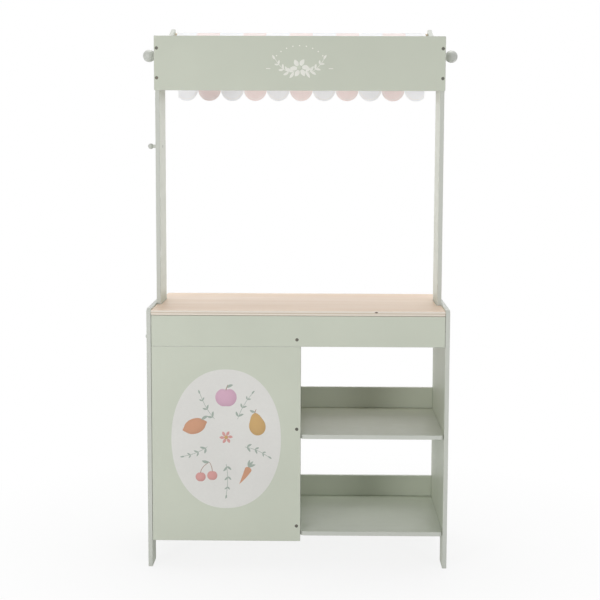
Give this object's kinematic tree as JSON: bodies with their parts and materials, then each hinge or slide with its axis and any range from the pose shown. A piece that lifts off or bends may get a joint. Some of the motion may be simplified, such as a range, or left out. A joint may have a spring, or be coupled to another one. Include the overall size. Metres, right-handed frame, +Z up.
{
  "type": "toy market stall",
  "caption": "Toy market stall: painted board cabinet with a wooden serving counter, open shelves, posts with a header board and a striped scalloped awning that tilts on clamp knobs.",
  "frame": {"origin": "on the floor, under the middle of the stall's outer box", "axes": "+Z up, +X to the right as seen from the serving side, +Y from the serving side to the market side"},
  "size_m": [0.665, 0.366, 1.1298],
  "materials": {
    "sage_paint": "satin sage paint on fibreboard",
    "counter_wood": "clear matt lacquer on pale plywood",
    "beech": "bare sanded beech",
    "ball_paint": "satin paint on turned wood",
    "awning_cloth": "striped cotton canvas",
    "dark_screw": "dark coated steel",
    "bright_steel": "zinc plated steel"
  },
  "bodies": {
    "stall": {"left_side_panel": "sage_paint", "right_side_panel": "sage_paint", "counter_top": "counter_wood", "front_apron": "sage_paint", "rear_apron": "sage_paint", "menu_panel": "sage_paint", "divider_panel": "sage_paint", "right_upper_shelf": "sage_paint", "right_lower_shelf": "sage_paint", "upper_rail": "sage_paint", "lower_rail": "sage_paint", "left_upper_shelf": "sage_paint", "left_lower_shelf": "sage_paint", "left_post": "sage_paint", "right_post": "sage_paint", "header_board": "sage_paint", "post_peg": "ball_paint", "side_peg": "ball_paint", "header_screws": "dark_screw", "divider_screws": "dark_screw", "left_side_screws": "dark_screw", "right_side_screws": "dark_screw", "rail_screws": "dark_screw", "peg_screws": "dark_screw", "shelf_dowels": "beech"},
    "awning_frame": {"left_arm": "sage_paint", "right_arm": "sage_paint", "rear_rod": "beech", "front_rod": "beech", "canopy_cloth": "awning_cloth", "arm_screws": "dark_screw", "pivot_studs": "bright_steel", "pivot_washers": "bright_steel"},
    "valance": {"valance_cloth": "awning_cloth"},
    "left_clamp": {"left_knob": "ball_paint"},
    "right_clamp": {"right_knob": "ball_paint"}
  },
  "joints": [
    {"name": "awning_tilt", "type": "hinge", "parent": "stall", "child": "awning_frame", "pos_m": [0, -0.01703, 1.06], "axis": [1, 0, 0], "range_deg": [-77, 43]},
    {"name": "valance_swing", "type": "hinge", "parent": "awning_frame", "child": "valance", "pos_m": [0, 0.16803, 1.11481], "axis": [1, 0, 0], "range_deg": [-43, 77]},
    {"name": "left_knob_turn", "type": "hinge", "parent": "stall", "child": "left_clamp", "pos_m": [-0.3195, -0.01703, 1.06], "axis": [1, 0, 0], "continuous": true},
    {"name": "right_knob_turn", "type": "hinge", "parent": "stall", "child": "right_clamp", "pos_m": [0.3195, -0.01703, 1.06], "axis": [1, 0, 0], "continuous": true}
  ],
  "couplings": [
    {"joint": "valance_swing", "follows": "awning_tilt", "ratio": -1}
  ]
}
